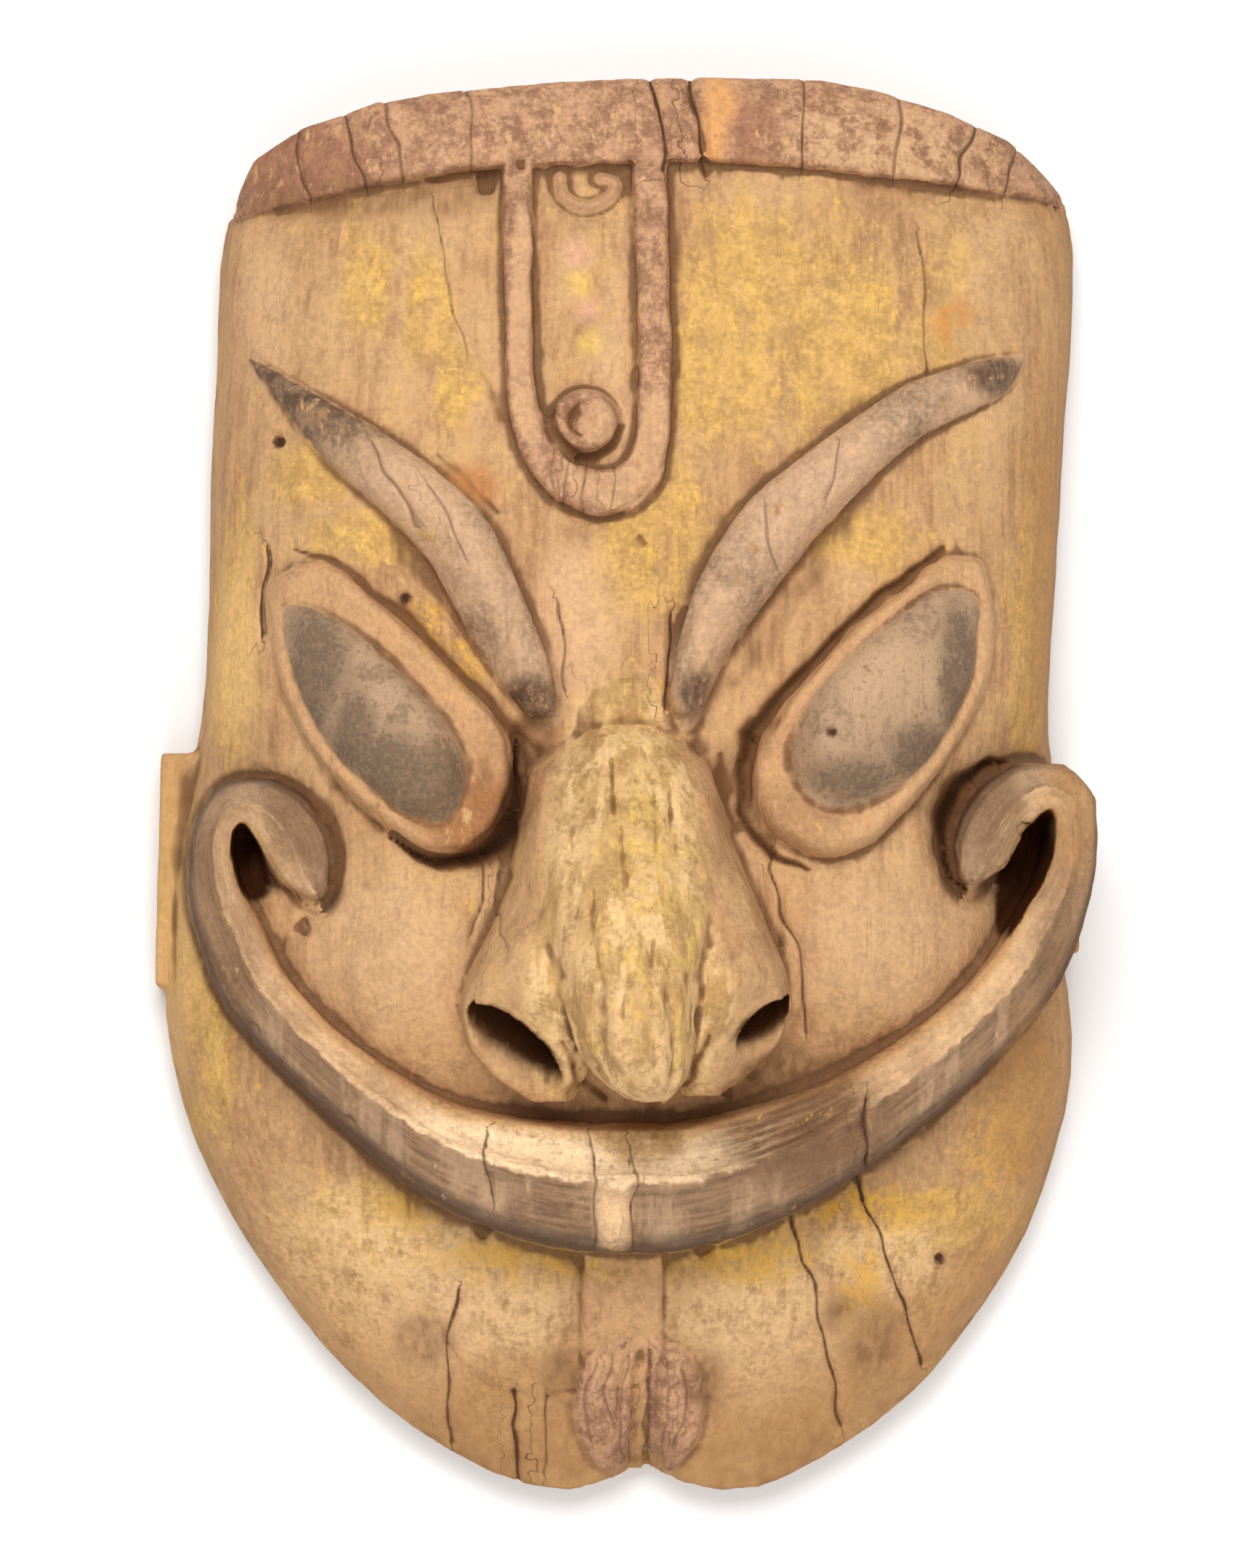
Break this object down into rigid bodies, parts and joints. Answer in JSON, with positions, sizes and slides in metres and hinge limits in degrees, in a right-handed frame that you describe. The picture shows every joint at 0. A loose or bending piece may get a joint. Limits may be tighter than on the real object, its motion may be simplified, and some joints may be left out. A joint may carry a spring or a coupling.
{
  "type": "ceremonial mask",
  "caption": "Carved wooden mask of a demon face with slanted bulging eyes, sabre brows, flared nose and a curling moustache, hollowed out behind",
  "frame": {"origin": "middle of the outline, on the plane of the rim the mask lies on", "axes": "+Z out of the face, +Y towards the crown, +X to the right as one looks at the face"},
  "size_m": [0.2397, 0.361, 0.118],
  "materials": {
    "carved_wood": "weathered, dry wood with worn ochre and grey paint"
  },
  "bodies": {
    "root": {"mask": "carved_wood"}
  },
  "joints": []
}
